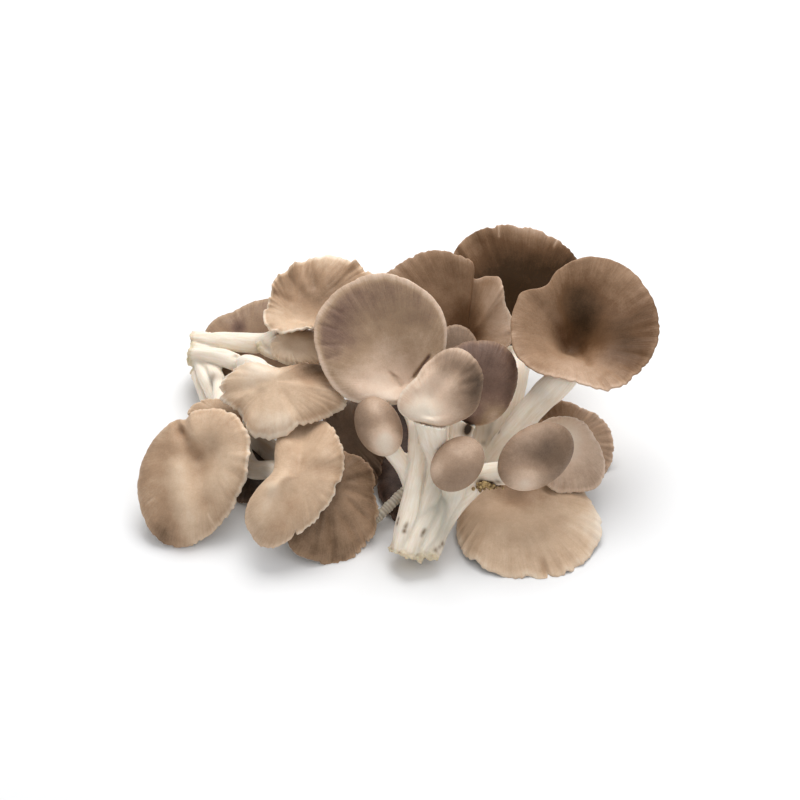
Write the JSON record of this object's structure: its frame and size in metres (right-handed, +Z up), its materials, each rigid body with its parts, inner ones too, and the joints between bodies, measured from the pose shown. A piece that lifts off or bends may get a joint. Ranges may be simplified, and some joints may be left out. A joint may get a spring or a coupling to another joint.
{
  "type": "oyster mushroom cluster",
  "caption": "Heap of cut oyster mushroom clumps lying on a surface: round, dished and fan-shaped brown caps with gills on branching cream stems.",
  "frame": {"origin": "on the surface the heap lies on, under the middle of its bounding box", "axes": "+X to the right along the longest extent, +Y towards the back, +Z up along the shortest extent; the front of the heap faces -Y"},
  "size_m": [0.2428, 0.1644, 0.0939],
  "materials": {
    "purple_brown_cap": "purple-brown cap skin, matt to satin, with cream gills underneath",
    "grey_brown_cap": "grey-brown cap skin, matt to satin, with cream gills underneath",
    "dark_brown_cap": "dark brown cap skin, matt to satin, with cream gills underneath",
    "tan_cap": "tan cap skin, matt to satin, with cream gills underneath",
    "cream_stem": "cream stem flesh, smooth and matt, roughly cut at the base"
  },
  "bodies": {
    "root": {"front_cap_large": "purple_brown_cap", "front_cap_tongue": "grey_brown_cap", "front_cap_side": "purple_brown_cap", "front_cap_behind": "grey_brown_cap", "front_bud_left": "grey_brown_cap", "front_bud_middle": "grey_brown_cap", "front_bud_right": "grey_brown_cap", "front_cap_under": "purple_brown_cap", "right_cap_trumpet": "dark_brown_cap", "right_cap_back": "dark_brown_cap", "right_cap_lobed": "dark_brown_cap", "right_cap_low": "grey_brown_cap", "right_cap_outer": "dark_brown_cap", "right_cap_floor": "tan_cap", "left_cap_pleated": "tan_cap", "left_cap_dark": "purple_brown_cap", "left_cap_lip": "tan_cap", "left_cap_fan": "tan_cap", "left_cap_corner": "tan_cap", "left_cap_tucked": "tan_cap", "left_cap_saddle": "tan_cap", "left_cap_low": "tan_cap", "left_cap_shaded": "grey_brown_cap", "left_cap_under": "grey_brown_cap", "front_stems": "cream_stem", "right_stems": "cream_stem", "left_stems": "cream_stem"}
  },
  "joints": []
}
